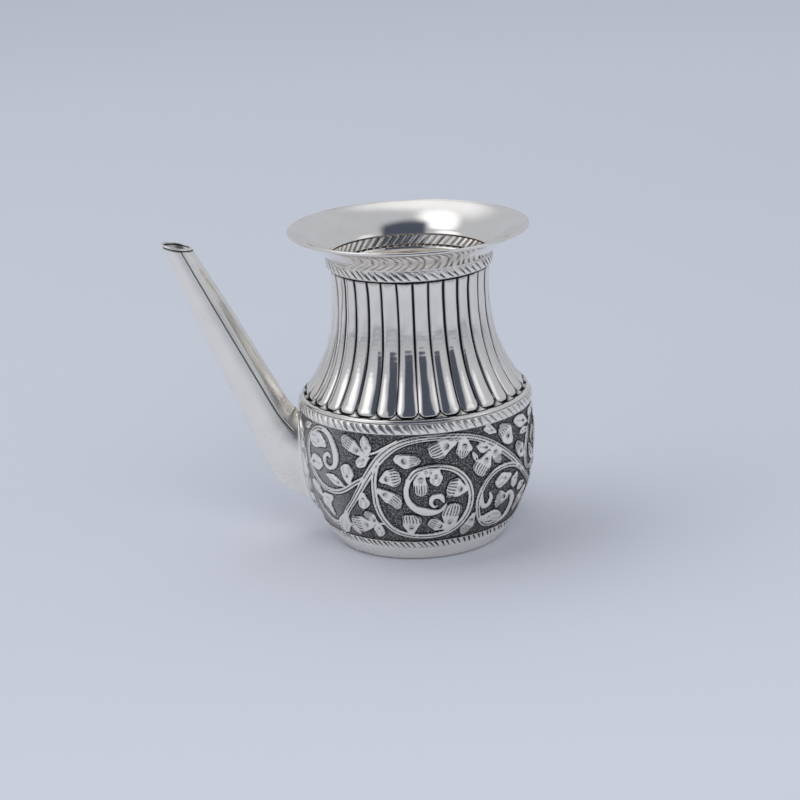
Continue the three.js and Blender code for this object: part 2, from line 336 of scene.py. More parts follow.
def chased_silver(name, strength):
    """Worn raised silver over a punched ground that holds its oxide; tone above 1 darkens it further, with
    oxide and painted shade.
    """
    punch_mm, grit_mm, punch_depth_mm = 0.45, 0.3, 0.08
    n = new_material(name)
    punch = n.cells(punch_mm)
    grit = n.noise(grit_mm, 3.0)
    speckle = n.math("MULTIPLY", n.ramp(punch, 0.5, 0.2), n.ramp(grit, 0.32, 0.58))
    dark = n.mix(speckle, GROUND, GREY_SILVER)
    bright = n.mix(n.ramp(grit, 0.3, 0.75), WHITE_SILVER, SATIN_SILVER)
    colour = n.mix(n.ramp(n.tone(), 0.0, 1.0), bright, dark)
    colour = n.mix(n.ramp(n.tone(), 1.0, 1.5), colour, OXIDE_AND_SHADE)
    rough = n.ramp(n.tone(), 0.0, 1.0, 0.24, 0.5)
    height = n.math("MULTIPLY", n.ramp(punch, 0.5, 0.1), n.ramp(n.tone(), 0.3, 0.9, 0.05, 1.0))
    return n.metal(colour, rough, height, punch_depth_mm, strength)


# ---- the chased scroll

SCROLL_R = 37.5           # mean radius of the scroll
MM_PER_DEGREE = math.radians(SCROLL_R)
EDGE = 0.3                # width of the slope from the ground up to a stem or leaf
LIFT = 0.45               # how far stems and leaves stand above the ground
STEM_CROWN, STEM_GROOVE = 0.08, 0.24
LEAF_CROWN, LEAF_RIB, LEAF_EYE = 0.16, 0.16, 0.42
MOST_TONE = 1.2

# Stems: (phi, z, half width in mm) points, and how many ridges lie side by side.
STEMS = [
    # the main stem, from its foot by the spout up and over to the far side
    ([(41, 9.5, 1.6), (46, 14, 1.3), (50.5, 18.2, 1.1), (55, 21.6, 1.1), (60, 26.4, 1.3), (64, 30.6, 1.5),
      (70, 36.4, 1.6), (76, 40.2, 1.5), (82, 42.4, 1.3), (90, 43.7, 1.2), (100, 43.9, 1.1), (110, 43.3, 1.1),
      (118, 42, 1.1), (126, 39.5, 1.2), (134, 35.8, 1.3), (141, 32, 1.3), (147, 28.4, 1.3),
      (153, 24.8, 1.2), (160, 21.4, 1.1), (168, 18.2, 1), (175, 14.5, 1), (180, 10.5, 1)], 3),
    # the foot's second branch, towards the spout
    ([(49, 17.2, 0.9), (45, 13.6, 1), (40, 11.6, 1.1), (34.5, 11.6, 1), (29.5, 13.6, 0.9),
      (26, 17.2, 0.7)], 2),
    # the left spiral and its thick curled end
    ([(62, 30, 0.9), (57.5, 28.2, 0.9), (51.7, 25.6, 0.95), (46, 24, 1), (40, 23.7, 1), (34, 24.9, 1),
      (29.5, 27.2, 1), (25.4, 30.4, 0.9), (23.6, 34.5, 0.9), (25, 39, 0.85), (29.5, 42.3, 0.85),
      (34.5, 43.7, 0.9), (39.5, 43.6, 1)], 2),
    ([(38.5, 43.7, 0.9), (42.5, 42.2, 1.1), (45.5, 39.2, 1.35), (46.6, 35.8, 1.35), (45.6, 32.8, 1),
      (42, 31.6, 0.75), (39.1, 32.8, 0.8), (38.8, 34.9, 0.85), (41, 36.1, 0.8), (43, 35.4, 0.6)], 1),
    # the big spiral: down, round under, up and over, then in to its bud
    ([(70, 36.2, 1), (68, 31, 1.05), (67.7, 26, 1.1), (68.2, 21, 1.15), (70.4, 16.5, 1.15),
      (74.5, 12.9, 1.15), (81, 10.8, 1.1), (89, 9.9, 1), (98, 10, 1.05), (105, 11.2, 1.15),
      (110.4, 13.6, 1.2), (114, 17.2, 1.2), (115.4, 21.4, 1.15), (114.6, 26, 1.15), (111.5, 30, 1.1),
      (106.5, 32.9, 1), (100, 34.3, 0.95), (93.5, 34.3, 0.95), (88, 33, 1), (84.6, 30.2, 1.05)], 2),
    ([(84.6, 30.2, 0.95), (83.3, 27, 0.95), (83.8, 23.6, 1.05), (86.8, 20.8, 1.3), (91.5, 19.4, 1.6),
      (96, 18.9, 1.2), (100, 19.5, 0.7), (102.5, 21.6, 0.4)], 1),
    ([(101.3, 22.2, 0.5), (99.6, 24.3, 1.1), (96.3, 24.4, 1), (94.9, 22.4, 0.8), (96.4, 20.9, 0.6),
      (98, 21.2, 0.4)], 1),
    # the right spiral, ending in a broad hook
    ([(151, 26, 0.8), (146, 28, 0.9), (141.5, 29.4, 0.95), (136, 30, 0.95), (130.5, 29.6, 0.95),
      (126, 28.2, 0.95), (122.6, 25.6, 0.95), (120.2, 22.2, 0.95), (119.7, 18.8, 0.95), (120.8, 15.4, 0.95),
      (123.2, 12.6, 0.95), (127, 10.7, 0.9), (132, 10.2, 0.9), (138, 10.3, 0.9)], 2),
    ([(137, 10.2, 0.8), (141.4, 10.8, 1), (144.6, 13.4, 1.3), (145, 16.8, 1.4), (142.6, 19.4, 1),
      (139.5, 20, 0.7)], 1),
    # the small C curl inside it
    ([(121.4, 23.6, 0.5), (121.6, 20.6, 0.9), (123, 18.2, 1), (125.8, 18.2, 0.95), (127.4, 20.3, 0.9),
      (126.4, 22.3, 0.6)], 1),
    # the tall stem at the far side
    ([(159.5, 38.6, 0.5), (156, 35.4, 0.9), (154, 31.5, 1), (154.6, 27.5, 0.9), (158, 25.3, 0.85),
      (163, 24.8, 0.85), (168, 26.6, 0.9), (171, 30.5, 0.9), (170.4, 35, 0.9), (166.5, 37, 0.8),
      (163.4, 34.6, 0.8), (165, 32, 0.6)], 2),
    # twigs that carry the leaf clusters
    ([(64, 38.2, 0.4), (69, 39.2, 0.5), (74.5, 41.2, 0.5), (80, 43.3, 0.4)], 1),
    ([(112.6, 43, 0.4), (108.5, 41.9, 0.5), (105, 40.6, 0.5)], 1),
    ([(131, 38.4, 0.4), (127.6, 37.2, 0.5), (126.4, 35.6, 0.4)], 1),
    ([(70.5, 14.6, 0.4), (67, 14.5, 0.5), (63, 14.2, 0.4)], 1),
    ([(160.5, 39.4, 0.5), (163.5, 42.6, 0.5), (168, 44.2, 0.4)], 1),
]

# Leaves: phi and z of the base, phi and z of the far end, half width in mm, kind.
LEAVES = [
    (38.5, 14.6, 33.5, 21.6, 1.5, "lobe"), (48, 13.4, 54.5, 9.2, 1.2, "lens"),
    (63.6, 38.3, 51, 43.2, 2.2, "fan"), (65.6, 38.3, 63.2, 44.4, 1.7, "bud"),
    (65.8, 37.6, 59.4, 34, 1.7, "lobe"), (54.2, 28, 53.2, 34.4, 2.3, "lobe"),
    (52, 26.4, 39, 29.3, 1.5, "lens"), (25, 31, 37.6, 32, 2.5, "lens"),
    (39.6, 39, 26, 39.4, 2.6, "lobe"), (61.2, 25.4, 60.6, 19.6, 2, "lobe"),
    (64, 14.2, 51.2, 13.7, 2.9, "fan"), (67, 14.6, 60.6, 18.4, 1.7, "fan"),
    (66.8, 14.6, 66, 9.4, 1.9, "bud"), (41, 21.6, 32.6, 17.4, 2.1, "lobe"),
    (32.6, 20.6, 25.4, 25, 1.8, "lobe"), (48.4, 16, 42, 8.8, 2.4, "lobe"),
    (79, 37.2, 91, 36.6, 2.3, "egg"), (71.4, 30.3, 81, 31.6, 2.8, "fan"),
    (69, 26.9, 80.3, 21.2, 2.3, "fan"), (84.2, 11.3, 84.6, 18.4, 3, "fan"),
    (91.2, 33.2, 90.4, 24.9, 2.2, "fan"), (98.6, 33.6, 98, 28, 2, "bud"),
    (97, 33.6, 92.6, 31.6, 1.1, "lobe"), (112.4, 25.6, 103, 27.4, 3.1, "fan"),
    (103.8, 11.5, 106.4, 21.4, 2.9, "fan"), (102.4, 12.4, 93.6, 15.6, 2.1, "fan"),
    (107.6, 41.8, 95, 38.6, 2.7, "fan"), (112.6, 42, 110.5, 36, 2.5, "egg"),
    (126.8, 37.6, 118.4, 39.2, 1.8, "lens"), (126.2, 36, 118.6, 29.6, 2.8, "fan"),
    (127.8, 37.4, 132, 31.6, 2.1, "egg"), (130.4, 42, 123.4, 44.6, 1.5, "lobe"),
    (140.4, 37.6, 133.4, 43.8, 2.8, "egg"), (158, 40.6, 143.6, 43.2, 2.1, "lens"),
    (158.4, 38.6, 148.4, 38.4, 1.2, "lens"), (150.4, 31, 145.2, 36.2, 2.2, "egg"),
    (139.9, 26.4, 129.3, 24.8, 2.2, "lobe"), (145.2, 25.8, 143, 21.2, 1.7, "bud"),
    (139.4, 19, 130.6, 17.8, 2.5, "fan"), (121.6, 13.6, 138.2, 12.2, 1.9, "lobe"),
    (118.2, 16.2, 112.4, 9.2, 2, "fan"), (154.4, 21.4, 147.8, 19.4, 1.5, "lens"),
    (158.6, 18.6, 149, 12, 2, "fan"), (168, 14.6, 158, 10.4, 1.9, "fan"),
    (173.6, 17.6, 176.4, 24.8, 1.8, "fan"), (168.6, 44, 160, 42, 1.3, "lens"),
    (163.6, 27.4, 158.6, 33, 1.7, "egg"), (180, 29, 174.4, 38.6, 2, "fan"),
    (168, 44.2, 177, 41, 1.7, "lobe"), (165.6, 21, 167.6, 24.2, 1, "lobe"),
    (27.4, 44, 19.6, 41.6, 1.3, "lens"), (119.4, 33.6, 116.4, 38, 0.9, "lens"),
]

# Kinds of leaf: width at the base, where it is widest, how blunt its far end is, where its eye is.
LEAF_KINDS = {"fan": (0.4, 0.62, 3.6, 0.34), "egg": (0.6, 0.42, 2.1, 0.34), "bud": (0.45, 0.5, 2.3, 0.4),
              "lobe": (0.4, 0.55, 2.6, 0.4), "lens": (0.2, 0.5, 1.8, 0.36)}


def catmull_rom(a, b, c, d, t):
    """Point at share t between b and c of the curve through four points."""
    return 0.5 * (2 * b + (c - a) * t + (2 * a - 5 * b + 4 * c - d) * t ** 2
                  + (3 * b - a - 3 * c + d) * t ** 3)


def past_ends(points):
    """The points with one more beyond each end, on the line of its last two."""
    return np.vstack([2 * points[0] - points[1], points, 2 * points[-1] - points[-2]])


def spline(points):
    """Smooth curve through points, sampled every `step` mm of its first two values."""
    step = 0.09
    p = past_ends(np.array(points, float))
    out = []
    for a, b, c, d in zip(p[:-3], p[1:-2], p[2:-1], p[3:]):
        count = max(2, int(np.linalg.norm((c - b)[:2]) / step))
        t = np.linspace(0, 1, count, endpoint=False)[:, None]
        out.append(catmull_rom(a, b, c, d, t))
    return np.vstack(out + [p[-2:-1]])


class Relief:
    """Height above the ground and darkness, over azimuth and height, for half the belly."""

    def __init__(self, phi, z):
        self.u = phi[None, :] * MM_PER_DEGREE
        self.z = z[:, None]
        self.height = np.zeros((len(z), len(phi)))
        self.tone = np.ones((len(z), len(phi)))

    def window(self, centre, reach):
        """The part of the grid near a point, and its coordinates."""
        columns = np.abs(self.u[0] - centre[0]) < reach
        rows = np.abs(self.z[:, 0] - centre[1]) < reach
        return np.ix_(rows, columns), self.u[:, columns], self.z[rows]

    def raise_to(self, place, height, tone):
        """Raise the grid where the new height is above what is there."""
        higher = height > self.height[place]
        self.height[place] = np.where(higher, height, self.height[place])
        self.tone[place] = np.where(higher, tone, self.tone[place])

    def stem(self, points, ridges):
        line = spline([(phi * MM_PER_DEGREE, z, half) for phi, z, half in points])
        far_off = 9.0             # half widths
        nearest = np.full(self.height.shape, far_off)
        width = np.ones(self.height.shape)
        for u0, z0, half in line:
            place, u, z = self.window((u0, z0), half + EDGE)
            distance = np.hypot(u - u0, z - z0) / half
            closer = distance < nearest[place]
            nearest[place] = np.where(closer, distance, nearest[place])
            width[place] = np.where(closer, half, width[place])
        across = nearest * width
        rise = smooth((width - across) / EDGE)
        groove = 0.0
        if ridges == 2:
            groove = bell(across, 0.17)
        if ridges == 3:
            groove = bell(across - 0.4 * width, 0.15)
        crown = STEM_CROWN * (1 - np.clip(nearest, 0, 1) ** 2)
        height = rise * (LIFT + crown) - STEM_GROOVE * groove * rise
        self.raise_to(np.s_[:, :], height, np.clip(1 - rise + 1.15 * groove, 0, MOST_TONE))

    def leaf(self, base_phi, base_z, far_phi, far_z, half, kind):
        """A domed, slightly wavy leaf with ribs, a punched eye, and painted shade in a crescent by the eye.
        """
        base = np.array([base_phi * MM_PER_DEGREE, base_z])
        far = np.array([far_phi * MM_PER_DEGREE, far_z])
        length = np.linalg.norm(far - base)
        along = (far - base) / length
        place, u, z = self.window((base + far) / 2, length / 2 + half + 0.5)
        # a runs from 0 at the base to 1 at the far end, b is mm off the middle line
        a = ((u - base[0]) * along[0] + (z - base[1]) * along[1]) / length
        b = (z - base[1]) * along[0] - (u - base[0]) * along[1]
        neck, widest, blunt, eye_at = LEAF_KINDS[kind]
        draw = np.random.default_rng(int(abs(base[0]) * 10 + base[1] * 100))
        bow, turn = draw.uniform(-0.28, 0.28), draw.uniform(0, 6.3)
        inside = np.clip(a, 0, 1)
        b = b + bow * half * np.sin(inside * math.pi)
        opening = neck + (1 - neck) * np.sin(np.clip(inside / widest, 0, 1) * math.pi / 2) ** 1.3
        past = np.clip((inside - widest) / (1 - widest), 0, 1)
        closing = np.clip(1 - past ** blunt, 0, 1) ** (1 / blunt + 0.15)
        outline = 1.1 * half * np.where(inside < widest, opening, closing)
        outline = outline * (1 + 0.09 * np.sin(inside * 9 + turn + 1.5 * np.sign(b)))
        share = b / np.maximum(outline, 0.2)
        margin = outline - np.abs(b) - np.maximum(np.abs(a - 0.5) - 0.5, 0) * length * 1.5
        if kind == "fan":
            notches = 0.5 - 0.5 * np.cos(share * math.pi * 4)
            margin = margin - 0.16 * smooth((a - 0.7) / 0.15) * notches
        rise = smooth(margin / EDGE)
        if kind in ("fan", "egg"):
            ribs = (0.5 + 0.5 * np.cos(share * math.pi * 6.2 + math.pi)) ** 1.8
            hatch = ribs * smooth((a - 0.5) / 0.08) * (1 - smooth((a - 0.93) / 0.07))
        elif kind == "lens":
            hatch = 0.8 * bell(b, 0.13) * smooth((a - 0.2) / 0.1) * (1 - smooth((a - 0.8) / 0.1))
        else:
            hatch = 0.5 * bell(np.abs(share) - 0.45, 0.12)
            hatch = hatch * smooth((a - 0.45) / 0.1) * (1 - smooth((a - 0.8) / 0.1))
        size = (0.9 if kind in ("fan", "egg") else 0.6) * min(1.0, half / 2.0)
        out = np.hypot((a - eye_at) * length, b)
        eye = bell(out, size)
        # painted shade: a crescent on the base side of the eye
        crescent_shade = bell(out - 0.75 * size, 0.3 * size) * smooth((eye_at + 0.03 - a) / 0.12)
        dome = LEAF_CROWN * np.clip(1 - share ** 2, 0, 1)
        height = rise * (LIFT + dome - LEAF_RIB * hatch - LEAF_EYE * eye)
        # tone: oxide in the hatch cuts, oxide and painted shade in the eye, painted shade in the crescent
        tone = np.clip(1 - rise + 0.95 * hatch + 0.45 * eye + 0.75 * crescent_shade, 0, MOST_TONE)
        self.raise_to(place, height, tone)

    def shade_feet(self, reach=2):
        """Oxide and painted shade lie against the feet of the raised work: tone rises above 1 there."""
        raised = np.clip(self.height / LIFT, 0, 1)
        near = np.zeros_like(raised)
        for i in range(-reach, reach + 1):
            for j in range(-reach, reach + 1):
                near += np.roll(raised, (i, j), (0, 1))
        near /= (2 * reach + 1) ** 2
        # painted shade, with oxide: darker ground close to the raised work
        self.tone += smooth((near - 0.05) / 0.4) * (self.tone > 0.9)


# ---- body pieces

def belly():
    """The belly: the scroll in relief over its punched ground, and a plain inside."""
    columns, rows, inner_rows = 960, 150, 14
    under_bands = 0.25        # how far it runs on under the bands
    phi = around(columns)
    z = np.linspace(FOOT_HIGH - under_bands, SHOULDER_LOW + under_bands, rows)
    front = phi[:columns // 2 + 1]
    half = Relief(front, z)
    for stem in STEMS:
        half.stem(*stem)
    for leaf in LEAVES:
        half.leaf(*leaf)
    half.shade_feet()
    # painted light: the ground is lightened towards the spout, on the side where the light from the left
    # falls
    half.tone *= 1 - 0.3 * smooth((62 - front) / 30)[None, :]
    mirror = np.concatenate([np.arange(columns // 2 + 1), np.arange(columns // 2 - 1, 0, -1)])
    height = half.height[:, mirror]
    tone = half.tone[:, mirror]
    draw = np.random.default_rng(4)
    ground = np.clip(tone, 0, 1)
    punched = draw.normal(0, 0.03, height.shape) * ground
    worked = 0.03 * unevenness(phi[None, :], z[:, None], 11, 3.0, 24)
    lift = height - LIFT + punched + worked
    slope = body_slope(z)[:, None]
    radius = body_radius(z)[:, None] + lift * np.cos(slope)
    outer = on_body(phi[None, :], radius, z[:, None] - lift * np.sin(slope))
    inner_z = np.linspace(z[-1], z[0], inner_rows)[:, None]
    inner = on_body(phi[None, :], body_radius(inner_z) - LAP, inner_z)
    inner_tone = 0.12
    tones = np.vstack([tone, np.full((inner_rows, columns), inner_tone)])
    return grid_mesh("belly_scroll", np.vstack([outer, inner]), tones)


def cuts(phi, share, strokes, slant, seed):
    """Depth, 0 to 1, of slanting chisel cuts round a band; share is the height within it.

    A cut is broad near the top and thins out down its slant.
    """
    draw = np.random.default_rng(seed)
    shift = draw.normal(0, 0.11, strokes)
    force = draw.uniform(0.7, 1.0, strokes)
    lean = draw.normal(0, 0.22, strokes)
    place = phi / 360 * strokes
    turn = place + slant * (share - 0.5)
    which = np.floor(turn).astype(int) % strokes
    offset = turn - np.floor(turn) - 0.5 + lean[which] * (share - 0.5) + shift[which]
    width = 0.11 + 0.12 * smooth((share - 0.15) / 0.6)
    within = smooth((share - 0.04) / 0.14) * smooth((0.97 - share) / 0.12)
    return bell(offset, width) * force[which] * within


def rope(name, low, high, radius_at, strokes, slant, seed, depth=0.5, crown=0.3, ink=1.4):
    """A narrow crowned band, cut across with slanting hand-made strokes.

    `depth` and `crown` are in mm, `ink` is how dark the cuts are.
    """
    columns, rows, thickness = strokes * 14, 17, 0.7
    phi = around(columns)
    z = np.linspace(low, high, rows)[:, None]
    share = (z - low) / (high - low)
    cut = cuts(phi[None, :], share, strokes, slant, seed)
    edge = smooth(share / 0.1) * smooth((1 - share) / 0.08)
    rise = crown * np.sqrt(np.clip(1 - (2 * share - 1) ** 2, 0, 1)) - 0.22 * (1 - edge)
    lift = rise - depth * cut + 0.02 * unevenness(phi[None, :], z, seed, 3.0)
    tone = np.clip(ink * cut ** 1.8 + 0.6 * (1 - edge), 0, 1.7)
    outer = on_body(phi[None, :], radius_at(z) + lift, z)
    inner_z = np.array([[high], [low]])
    inner = on_body(phi[None, :], radius_at(inner_z) - thickness, inner_z)
    tones = np.vstack([tone, np.zeros((2, columns))])
    return grid_mesh(name, np.vstack([outer, inner]), tones)


def inner_marks(phi, z):
    """The neck band's strokes as they show, leaning the other way, on the inner wall."""
    low, high = INNER_MARKS
    share = (z - low) / (high - low) + 0 * phi
    turn = phi / 360 * BAND_STROKES + BAND_SLANT * (share - 0.5)
    draw = np.random.default_rng(17)
    force = draw.uniform(0.5, 1.0, BAND_STROKES)[np.floor(turn).astype(int) % BAND_STROKES]
    within = smooth(share / 0.1) * smooth((1 - share) / 0.1)
    return bell(turn - np.floor(turn) - 0.5, 0.17) * within * force


def reed_depth(z):
    """Depth of the reeds: shallow under the neck band and fuller towards their feet."""
    return 0.5 + 0.45 * smooth((NECK_WAIST_Z + 3 - z) / 28)


def throat_radius(z):
    """Inner wall of the neck: it follows the outside, then steps out behind the band."""
    left_by_grooves = 0.5
    step_z, step_height = 89.6, 0.5
    below = neck_radius(np.minimum(z, NECK_LOW)) - reed_depth(z) - left_by_grooves
    return below + (THROAT_R - below) * smooth((z - step_z) / step_height)


def neck_rise():
    """Heights of the neck's rows over its foot, closest at both ends."""
    top = NECK_LOW - NECK_FOOT_Z
    feet = np.linspace(0, 5, 28)
    middle = np.linspace(5, top - 1, 92)[1:]
    end = np.linspace(top - 1, top + 0.25, 7)[1:]
    return np.concatenate([feet, middle, end])[:, None]


def length_up(rise, radius):
    """Length along the flared wall from the neck's foot up to each row."""
    slope = np.sqrt(1 + np.gradient(radius[:, 0], rise[:, 0]) ** 2)
    steps = np.diff(rise[:, 0]) * (slope[1:] + slope[:-1]) / 2
    return np.concatenate([[0], np.cumsum(steps)])[:, None]


def neck():
    """The reeded neck: crowned reeds with rounded feet, between narrow dark grooves."""
    per_reed = 20             # columns on each reed
    foot_gap = 0.35           # plain strip between the reeds' feet and the bead
    corner = 2.5              # radius of the corners of a reed's foot
    ripple_pitch = 1.6        # planishing marks across the reeds
    columns = REEDS * per_reed
    phi = GROOVE_PHI + around(columns)
    top = NECK_LOW - NECK_FOOT_Z
    rise = neck_rise()
    z = NECK_FOOT_Z + rise
    radius = neck_radius(z)
    draw = np.random.default_rng(21)
    turn = ((phi - GROOVE_PHI) / 360 * REEDS)[None, :]
    reed = np.floor(turn).astype(int)
    v = 2 * (turn - reed) - 1     # from -1 to 1 across a reed

    # neighbouring reeds share a groove, so both sides of it sway together
    groove_at = np.where(v < 0, reed, reed + 1) % REEDS
    sway = (draw.normal(0, 0.16, REEDS)[groove_at]
            * np.sin(rise / 8.5 + draw.uniform(0, 6.3, REEDS)[groove_at]))
    half = math.pi * radius / REEDS
    away = np.abs((1 - np.abs(v)) * half + sway * np.sign(v))

    # margin: how far a point is inside the reed's outline
    up = length_up(rise, radius) - foot_gap
    round_corner = corner - np.hypot(np.clip(corner - away, 0, None), np.clip(corner - up, 0, None))
    straight = np.minimum(away, np.maximum(up, 0.0))
    margin = np.where((away < corner) & (up < corner), round_corner, straight)
    margin = np.minimum(margin, (top - foot_gap) - rise)
    fullness = np.clip(margin / half, 0, 1)

    depth = reed_depth(z)
    crown = depth * (np.clip(1 - (1 - fullness) ** 2.1, 0, 1) ** 0.72 - 1)
    wide = (0.17 + 0.15 * smooth((z - 57) / 16)) * draw.uniform(0.75, 1.4, REEDS)[groove_at]
    groove = bell(margin, np.where(rise < 3, 0.15, wide))
    # between the feet the metal stands as high as the reeds
    spandrel = (0.05 + depth * 0.95) * smooth((-margin - 0.05) / 0.3) * (rise < 6)
    ripple_at = draw.uniform(0, 6.3, REEDS)[reed % REEDS]
    ripple = 0.009 * np.cos(rise * 2 * math.pi / ripple_pitch + 2.1 * ripple_at)
    ripple = ripple * smooth(fullness / 0.3) * smooth((z - 56) / 6) * smooth((77 - z) / 7)
    tilt = 0.16 * draw.normal(0, 1, REEDS)[reed % REEDS] * v * (1 - v ** 2) * smooth(rise / 6)
    waver = 0.07 * np.sin(rise / 4 + draw.uniform(0, 6.3, REEDS)[reed % REEDS]) * smooth(rise / 6)
    waver = (waver * (1 - v ** 2) + tilt) * smooth((top - rise) / 5)
    swell = 0.03 * unevenness(phi[None, :], z, 31, 9.0)
    line = bell(rise, 0.2)
    # just under the neck band the reeds sink a little, and their tone there is the band's painted shadow
    under_band_sink_and_shade = smooth((rise - (top - 0.45)) / 0.25)
    lift = crown - 0.18 * groove + spandrel + ripple + waver + swell - 0.15 * line - 0.25 * under_band_sink_and_shade
    # tone: oxide in the grooves and the chased line at the reeds' feet, a faint grey along the reeds' edges,
    # and the painted shadow under the band
    tone = np.clip(1.9 * groove + 0.8 * line + 1.6 * under_band_sink_and_shade + 0.12 * bell(margin, 0.6), 0, 1.6)
    outer = on_body(phi[None, :], radius + lift, z)

    # the seat under the bead, the inner wall and the lower edge
    seat_z = np.array([[NECK_SEAT_LOW], [49.2], [49.5]])
    seat_r = body_radius(seat_z) - np.array([[0.8], [0.8], [0.4]])
    seat = on_body(phi[None, :], seat_r, seat_z)
    inner_z = np.concatenate([np.linspace(NECK_LOW + 0.25, 88.6, 12),
                              np.linspace(86, NECK_FOOT_Z + 0.7, 6)])[:, None]
    marks = inner_marks(phi[None, :], inner_z)
    inner = on_body(phi[None, :], throat_radius(inner_z) + 0.16 * marks, inner_z)
    under_z = np.array([[49.0], [NECK_SEAT_LOW]])
    under = on_body(phi[None, :], body_radius(under_z) - 1.6, under_z)
    plain = np.zeros((1, columns))
    tones = np.vstack([plain + 0.5, plain + 0.5, plain + 1, tone, 0.55 * marks, plain, plain])
    return grid_mesh("neck_reeds", np.vstack([seat, outer, inner, under]), tones)


def turned(name, profile, swell, seed):
    """A smooth turned ring, its closed profile given as (radius, height) points in mm."""
    columns, swell_size = 384, 14.0
    phi = around(columns)
    r, z = profile[:, :1], profile[:, 1:]
    lift = swell * unevenness(phi[None, :], z, seed, swell_size)
    return grid_mesh(name, on_body(phi[None, :], r + lift, z))


def shoulder_bead():
    """The smooth half-round bead between the shoulder band and the neck's foot."""
    low, high = SHOULDER_HIGH + 0.05, NECK_FOOT_Z - 0.12
    sunk, bulge, back = 0.12, 0.38, 0.5
    z = np.linspace(low, high, 12)
    swelling = bulge * np.sqrt(np.clip(1 - (2 * (z - low) / (high - low) - 1) ** 2, 0, 1))
    profile = np.vstack([np.stack([body_radius(z) - sunk + swelling, z], -1),
                         [(body_radius(high) - back, high), (body_radius(low) - back, low)]])
    return turned("shoulder_bead_ring", profile, swell=0.04, seed=41)


def flare_curve(count, offset):
    """Points (radius, height) along the flare, moved to its inner side by `offset`."""
    a, b, c, d = map(np.array, FLARE)
    t = np.linspace(0, 1, count)[:, None]
    point = (1 - t) ** 3 * a + 3 * t * (1 - t) ** 2 * b + 3 * t ** 2 * (1 - t) * c + t ** 3 * d
    along = 3 * (1 - t) ** 2 * (b - a) + 6 * t * (1 - t) * (c - b) + 3 * t ** 2 * (d - c)
    along /= np.linalg.norm(along, axis=1)[:, None]
    return point + offset * np.stack([-along[:, 1], along[:, 0]], -1)


def mouth():
    """The trumpet mouth, with the neck band's strokes in reverse inside its foot."""
    columns, flare_rows, throat_rows = 896, 34, 18
    seat_low, seat_r = 92.7, NECK_BAND_R - 0.38
    ridge, stroke_depth = 0.24, 0.2
    phi = around(columns)
    foot = np.array([(seat_r, seat_low), (seat_r, NECK_HIGH - 0.05)])
    outer = flare_curve(flare_rows, 0.0)
    inner = flare_curve(flare_rows, WALL)[:1:-1]
    throat_z = np.linspace(NECK_HIGH + 0.15, NECK_LOW + 0.1, throat_rows)
    throat_r = np.linspace(THROAT_R + THROAT_SPREAD, THROAT_R, throat_rows)
    throat = np.stack([throat_r - ridge * bell(throat_z - NECK_HIGH, 0.2), throat_z], -1)
    profile = np.vstack([foot, outer, inner, throat])
    r, z = profile[:, :1], profile[:, 1:]
    swell = 0.03 * unevenness(phi[None, :], z, 51, 20.0)
    inside = np.zeros((len(profile), 1))
    inside[-throat_rows:] = 1
    marks = inner_marks(phi[None, :], z) * inside
    tone = np.clip(0.8 * marks ** 1.5, 0, 1)
    points = on_body(phi[None, :], r + swell * (1 - inside) + stroke_depth * marks, z)
    return grid_mesh("mouth_trumpet", points, tone)


def rim():
    """The rolled wire on the edge of the mouth."""
    angle = np.radians(np.linspace(-180, 170, 16))
    profile = np.stack([RIM_R - RIM_WIRE_R + RIM_WIRE_R * np.cos(angle),
                        RIM_TOP - RIM_WIRE_R + RIM_WIRE_R * np.sin(angle)], -1)
    return turned("rim_ring", profile, swell=0.03, seed=61)


def base():
    """Flat bottom with its plain turned-up edge."""
    columns = 256
    turn_up, top, floor_z = 0.35, 6.3, 1.0
    phi = around(columns)
    # the flat underside and the start of its rounded corner
    radii = np.concatenate([np.linspace(2, 25.6, 16), [26.1, 26.45]])
    under = np.stack([radii, np.full(len(radii), BASE_LOW)], -1)
    under[-2:, 1] += (0.03, 0.12)
    wall_z = np.linspace(turn_up, FOOT_LOW + 0.1, 16)
    wall = np.stack([body_radius(wall_z), wall_z], -1)
    # the upper edge, set back under the foot band
    edge = np.array([(body_radius(FOOT_LOW) - 0.8, FOOT_LOW + 0.12), (body_radius(top) - 0.8, top),
                     (body_radius(top) - LAP, top)])
    inside_z = np.linspace(5.5, 3.0, 4)
    inside = np.stack([body_radius(inside_z) - LAP, inside_z], -1)
    floor = np.array([(26.0, 1.25), (24.5, floor_z), (12.0, floor_z), (2.0, floor_z)])
    profile = np.vstack([under, wall, edge, inside, floor])
    r, z = profile[:, :1], profile[:, 1:]
    swell = 0.025 * unevenness(phi[None, :], z, 71, 12.0) * (z > 0.3)
    return grid_mesh("base_plate", on_body(phi[None, :], r + swell, z),
                     poles=((0, 0, BASE_LOW), (0, 0, floor_z)))


# ---- spout

# Stations down the spout: outer line (x, z), inner line (x, z), half width in mm.
SPOUT_STATIONS = np.array([
    [-78.6, 100.7, -69.0, 98.7, 4.2], [-67.5, 71.0, -56.8, 76.6, 5.5], [-55.7, 42.2, -42.6, 49.3, 6.9],
    [-51.1, 29.8, -39.0, 44.2, 7.6], [-45.2, 19.0, -36.6, 42.6, 8.2], [-31.6, 9.8, -29.0, 41.0, 8.5],
])


def spout_stations(t):
    """Stations of the spout at shares t of its length, by the CAD's own spline."""
    p = past_ends(SPOUT_STATIONS)
    spans = len(SPOUT_STATIONS) - 1
    x = np.clip(t, 0, 1) * spans
    i = np.minimum(x.astype(int), spans - 1)
    f = (x - i)[..., None]
    return catmull_rom(p[i], p[i + 1], p[i + 2], p[i + 3], f)


